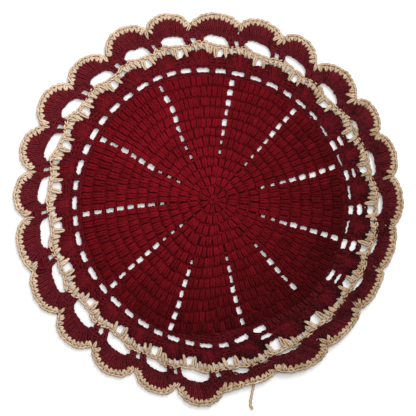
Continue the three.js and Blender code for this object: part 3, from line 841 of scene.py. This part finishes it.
def scallop_edging(yarn, fan):
    """Chain along one scallop. Gives the cells of the teeth inwards from it."""
    degrees = np.linspace(-FAN_STEP / 2, FAN_STEP / 2, 61)
    rim = fan_point(fan + degrees / FAN_STEP, look_up(degrees, SCALLOP))
    length = lengths(rim)
    inwards = np.gradient(rim, axis=0) @ np.array([[0, 1], [-1, 0]])
    deep = CHAIN_DEPTH + look_up(np.abs(degrees), CHAIN_DEEPER)
    chain(yarn, rim + unit(inwards) * deep[:, None], width=3.3, pitch=3.6, lift=0.2, loose=1.2)
    edges = np.linspace(0, length[-1], RIM_STITCHES + 1)
    edges[1:-1] += stray("rim stitch", RIM_STITCHES - 1)
    points = points_at(edges, length, rim)
    into = unit(points_at(edges, length, inwards))
    depth = TOOTH_DEPTH + look_up(np.interp(edges, length, degrees), LONGER)
    depth += stray("rim tooth", RIM_STITCHES + 1)
    return cells_between(points + into * depth[:, None], points + into * CHAIN_DEPTH)


def outer_edging():
    """Single crochet around the large fans: a chain, teeth, and longer ones into each notch."""
    yarn = Yarn()
    cells, spikes = [], []
    for fan in range(COUNT):
        cells.extend(scallop_edging(yarn, fan))
        if fan not in OPEN_NOTCHES:
            spikes += vary(NOTCH_TEETH, fan + 1, loose=1)
    put(yarn, cells, TOOTH, width=4.1, tip=0.65)
    put(yarn, standing_cells(spikes, half_width=0.7), LONG_TOOTH, width=4.0, tip=0.55)
    return yarn.piece("rim_edging_yarn", "beige_yarn")


# Tail and ground

def tail():
    """Free end of the last yarn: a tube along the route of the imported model."""
    yarn = Yarn()
    radii = np.full((1, len(TAIL_ROUTE)), TAIL_RADIUS)
    yarn.add(TAIL_ROUTE[None], radii, TAIL_RINGS, np.full((1, TAIL_RINGS), 0.5))
    obj = yarn.piece("tail_yarn", "beige_yarn")
    path = (smooth(TAIL_ROUTE[None], TAIL_RINGS)[0] + MAT_SHIFT) * MM
    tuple(path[0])
    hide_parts("yarn_tail")
    return obj


def ground_place(vertex, overlap):
    """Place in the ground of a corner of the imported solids."""
    at = np.array(vertex.co)
    flat = at[:2] / MM - MAT_SHIFT[:2]
    sides = [face.normal for face in vertex.link_faces if abs(face.normal.z) < 0.5]
    push = np.zeros(2)
    if sides:
        mean = np.mean([[side.x, side.y] for side in sides], axis=0)
        outer = np.linalg.norm(flat) > AT_ARCH and mean @ flat > 0
        push = (overlap if outer else -GROUND_INSET) * MM * mean / max(np.linalg.norm(mean), SHORTEST_MEAN)
    under = rise(flat) * MM
    z = under + GROUND_HEIGHT * MM + GROUND_SHARE * (at[2] - under)
    return at[0] + push[0], at[1] + push[1], z


def ground(name, nodes, overlap=-GROUND_INSET):
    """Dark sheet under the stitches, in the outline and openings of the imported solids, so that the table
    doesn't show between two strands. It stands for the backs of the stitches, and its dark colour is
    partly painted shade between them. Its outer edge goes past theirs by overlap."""
    joined = bmesh.new()
    for node in nodes:
        joined.from_mesh(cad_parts[node].data)
    bmesh.ops.remove_doubles(joined, verts=joined.verts, dist=1e-6)
    joined.normal_update()
    places = [ground_place(vertex, overlap) for vertex in joined.verts]
    for vertex, place in zip(joined.verts, places):
        vertex.co = place
    mesh = bpy.data.meshes.new(name)
    joined.to_mesh(mesh)
    joined.free()
    return piece(name, mesh)


def flat_area(obj):
    """Area of one side of a thin cloth."""
    return sum(face.area for face in obj.data.polygons) / 2


def eyelet_cutter():
    """A box for each small eyelet. These are under 4 mm, so the solids don't have them."""
    boxes = bmesh.new()
    for spoke, letters in enumerate(EYELETS):
        for inward, letter in enumerate(letters):
            if letter != "s" and (letter, inward) != ("n", SMALL_NARROW):
                continue
            middle = disc_point(spoke, ROUNDS - inward)
            along = disc_point(spoke, ROUNDS - inward + 0.1) - middle
            turn = math.atan2(along[1], along[0])
            made = bmesh.ops.create_cube(boxes, size=1)["verts"]
            bmesh.ops.scale(boxes, verts=made, vec=np.array(SMALL_EYELET) * MM)
            bmesh.ops.rotate(boxes, verts=made, matrix=Matrix.Rotation(turn, 3, "Z"))
            bmesh.ops.translate(boxes, verts=made, vec=(np.append(middle, 0) + MAT_SHIFT) * MM)
    mesh = bpy.data.meshes.new("eyelet_boxes")
    boxes.to_mesh(mesh)
    boxes.free()
    return new_object("eyelet_boxes", mesh)


def cut_small_eyelets(obj):
    cutter = eyelet_cutter()
    modifier = obj.modifiers.new("eyelets", "BOOLEAN")
    modifier.operation = "DIFFERENCE"
    modifier.object = cutter
    evaluated = obj.evaluated_get(bpy.context.evaluated_depsgraph_get())
    cut = bpy.data.meshes.new_from_object(evaluated)
    obj.modifiers.clear()
    obj.data = cut
    bpy.data.objects.remove(cutter)


# Materials. A noise of scale 1000 has grains of about a millimetre.

MATT = 0.95
SPECULAR = 0.1
FIBRE_NOISE = (1400, 2)  # scale and detail
MOTTLE_NOISE = (520, 2)
PATCH_NOISE = (36, 3)
BUMP_STRENGTH, BUMP_DISTANCE = 0.6, 0.2 * MM
MEAN_SHARE = 0.553  # of the light colour in a yarn
DARKEST_SHARE = -0.1
PLY_HEIGHT, FIBRE_HEIGHT = 0.7, 0.5
MEAN_PLY = 0.64  # of the plies' waves
RIGHT_SHADE_ENDS = 0.03  # the shade over the right half is full from here on
CENTRE_SHADE_FULL_TO, CENTRE_SHADE_GONE_FROM = 40 * MM, 56 * MM  # distances over which the ground's painted shade around the middle fades out


class Nodes:
    """Makes and links the nodes of a material."""

    def __init__(self, material):
        self.nodes, self.links = material.node_tree.nodes, material.node_tree.links
        self.shader = self.nodes["Principled BSDF"]
        self.texture_place = self.nodes.new("ShaderNodeTexCoord").outputs

    def new(self, kind, inputs, **settings):
        """Outputs of a new node. Each of its inputs gets a value, or the output of another node."""
        made = self.nodes.new("ShaderNode" + kind)
        for setting, value in settings.items():
            setattr(made, setting, value)
        for socket, value in inputs.items():
            if isinstance(value, bpy.types.NodeSocket):
                self.links.new(value, made.inputs[socket])
            else:
                made.inputs[socket].default_value = value
        return made.outputs

    def math(self, operation, *values):
        return self.new("Math", dict(enumerate(values)), operation=operation)[0]

    def add_up(self, total, *parts):
        """The total and each value times its weight."""
        for value, weight in parts:
            total = self.math("ADD", self.math("MULTIPLY", value, weight), total)
        return total

    def coordinates(self, kind):
        return self.new("SeparateXYZ", {0: self.texture_place[kind]})

    def noise(self, scale, detail):
        place = self.texture_place["Object"]
        return self.new("TexNoise", {"Vector": place, "Scale": scale, "Detail": detail})[0]

    def bump(self, height):
        inputs = {"Height": height, "Strength": BUMP_STRENGTH, "Distance": BUMP_DISTANCE}
        self.links.new(self.new("Bump", inputs)[0], self.shader.inputs["Normal"])

    def colour(self, share, first, second, clamped):
        """Base colour: the first and the second, by the second's share."""
        inputs = {"Factor": share, "A": (*first, 1), "B": (*second, 1)}
        made = self.new("Mix", inputs, data_type="RGBA", clamp_factor=clamped)
        self.links.new(made["Result"], self.shader.inputs["Base Color"])


def plain_material(name, colour, roughness):
    material = bpy.data.materials.new(name)
    material.use_nodes = True
    shader = material.node_tree.nodes["Principled BSDF"]
    shader.inputs["Base Color"].default_value = (*colour, 1)
    shader.inputs["Roughness"].default_value = roughness
    shader.inputs["Specular IOR Level"].default_value = SPECULAR
    return material


def yarn_material(name, dark, light, light_and_tone_slope, rim_shade_and_tone_fall=0.0, ply_groove_shade=0.15, spread=0.45, mottling=0.9,
                  drift=0.35, right_shade=0.0):
    """Matt twisted cotton: plies along the strand, fine fibres, and tone that drifts from stitch to stitch
    and over the mat. The grooves between the plies are darker, as painted shade. Over the mat the colour
    changes evenly from side to side and darkens towards the rim. This is partly the yarn's own tone and
    partly painted light and shade. It is darker in the right half by right_shade, which is painted shade."""
    material = plain_material(name, light, MATT)
    made = Nodes(material)
    around = made.math("MULTIPLY", made.coordinates("UV")[0], PLIES * math.pi)
    ply = made.math("ABSOLUTE", made.math("SINE", around))
    made.bump(made.add_up(0.0, (ply, PLY_HEIGHT), (made.noise(*FIBRE_NOISE), FIBRE_HEIGHT)))
    tone = made.new("Attribute", {}, attribute_name="tone")["Fac"]
    x, y = made.coordinates("Object")[:2]
    # Share of the painted shade over the right half of the mat
    right = made.math("MINIMUM", made.math("MAXIMUM", x, 0.0), RIGHT_SHADE_ENDS)
    # The ply waves also darken the colour in the grooves between the plies: painted shade.
    start = MEAN_SHARE - (spread + drift + mottling) / 2 - MEAN_PLY * ply_groove_shade
    share = made.add_up(start, (tone, spread), (made.noise(*PATCH_NOISE), drift),
                        (ply, ply_groove_shade), (made.noise(*MOTTLE_NOISE), mottling),
                        (x, light_and_tone_slope[0]), (y, light_and_tone_slope[1]), (right, -right_shade),
                        (made.math("MULTIPLY", x, x), -rim_shade_and_tone_fall), (made.math("MULTIPLY", y, y), -rim_shade_and_tone_fall))
    made.colour(made.math("MAXIMUM", share, DARKEST_SHARE), dark, light, clamped=False)
    return material


def ground_material(name, colour, centre_shade_colour):
    """Sheet under the stitches, darker around the middle as painted shade, so that the slits between the
    inner rounds look dark.
    """
    material = plain_material(name, colour, MATT)
    made = Nodes(material)
    distance = made.new("VectorMath", {0: made.texture_place["Object"]}, operation="LENGTH")["Value"]
    reach = {"Value": distance, "From Min": CENTRE_SHADE_FULL_TO, "From Max": CENTRE_SHADE_GONE_FROM}
    made.colour(made.new("MapRange", reach)["Result"], centre_shade_colour, colour, clamped=True)
    return material


# The even change over the mat in these cottons, and the disc's darkening towards the rim, are partly the
# yarn's own tone and partly painted light and shade.
def disc_cotton():
    return yarn_material("burgundy cotton", (0.07, 0.00125, 0.0026), (0.268, 0.0048, 0.0132),
                         light_and_tone_slope=(-1.2, 2.5), rim_shade_and_tone_fall=34, spread=0.34, mottling=0.45, ply_groove_shade=0.06,
                         drift=0.5, right_shade=3.5)


# The outer rows' cottons are darker and more purple than the disc's. This is partly the yarn's own colour
# and partly painted shade.
def small_fan_cotton():
    return yarn_material("burgundy cotton of the small fans", (0.026, 0.0021, 0.003),
                         (0.156, 0.0066, 0.0122), light_and_tone_slope=(-1.9, 1.5), mottling=1.3)


def rim_cotton():
    return yarn_material("burgundy cotton of the rim", (0.042, 0.0038, 0.0057),
                         (0.15, 0.012, 0.0182), light_and_tone_slope=(-1.9, 1.4), mottling=1.3)


def beige_cotton():
    return yarn_material("beige cotton", (0.34, 0.22, 0.115), (0.76, 0.575, 0.42), light_and_tone_slope=(-1.9, 1),
                         ply_groove_shade=0.45, spread=0.6)


def wear(material, *objects):
    for obj in objects:
        obj.data.materials.append(material)


# Camera, table and light

def camera():
    """Looks straight down, as the photograph does, through a long lens."""
    data = bpy.data.cameras.new("camera")
    data.sensor_width = 36
    data.lens = 216
    obj = new_object("camera", data)
    obj.location = (-0.00012, 0.00105, 2.0)
    bpy.context.scene.camera = obj


def table(half=3.0, top=-0.0002):
    mesh = bpy.data.meshes.new("table")
    corners = [(-half, -half, top), (half, -half, top), (half, half, top), (-half, half, top)]
    mesh.from_pydata(corners, [], [(0, 1, 2, 3)])
    obj = new_object("table", mesh)
    wear(plain_material("white table", (0.95, 0.95, 0.95), 0.8), obj)
    obj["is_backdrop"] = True


def area_light(name, place, size, power):
    """A round light that looks at the middle of the mat."""
    data = bpy.data.lights.new(name, "AREA")
    data.shape = "DISK"
    data.size = size
    data.energy = power
    obj = new_object(name, data)
    obj.location = place
    x, y, z = place
    obj.rotation_euler = (math.atan2(math.hypot(x, y), z), 0, math.atan2(-y, -x) - math.pi / 2)


def light():
    world = bpy.data.worlds.new("studio")
    world.use_nodes = True
    background = world.node_tree.nodes["Background"]
    background.inputs["Color"].default_value = (1, 1, 1, 1)
    background.inputs["Strength"].default_value = 0.5
    bpy.context.scene.world = world
    area_light("key light", place=(0.6, 1.1, 1.7), size=1, power=23)
    area_light("top light", place=(0.05, 0.3, 2.1), size=0.6, power=15)
    bpy.context.scene.view_settings.view_transform = "Standard"


camera()
tail_yarn = tail()
rounds = disc()
fans = windows_and_small_fans()
edging = inner_edging()
posts = paired_posts()
scallops = large_fans()
rim = outer_edging()
under = ground("mat_ground", ["centre_mat", "outer_fan_ring"], GROUND_OVERLAP)
under_area = flat_area(under)
cut_small_eyelets(under)
under_rim = ground("rim_ground", ["outer_edging"])

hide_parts("centre_mat", "outer_fan_ring")
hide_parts("inner_edging")
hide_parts("outer_edging")

wear(disc_cotton(), *rounds)
wear(small_fan_cotton(), fans)
wear(rim_cotton(), posts, scallops)
wear(beige_cotton(), edging, rim, tail_yarn)
# The grounds are darker than their yarns: they are the backs of the stitches, and partly painted shade
# between the strands.
wear(ground_material("burgundy ground", (0.10, 0.0022, 0.0043), (0.045, 0.0011, 0.002)), under)
wear(plain_material("beige ground", (0.42, 0.29, 0.18), MATT), under_rim)

table()
light()

bpy.context.view_layer.update()
[[list(corner) for corner in bounds] for bounds in (start_bounds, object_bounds())]
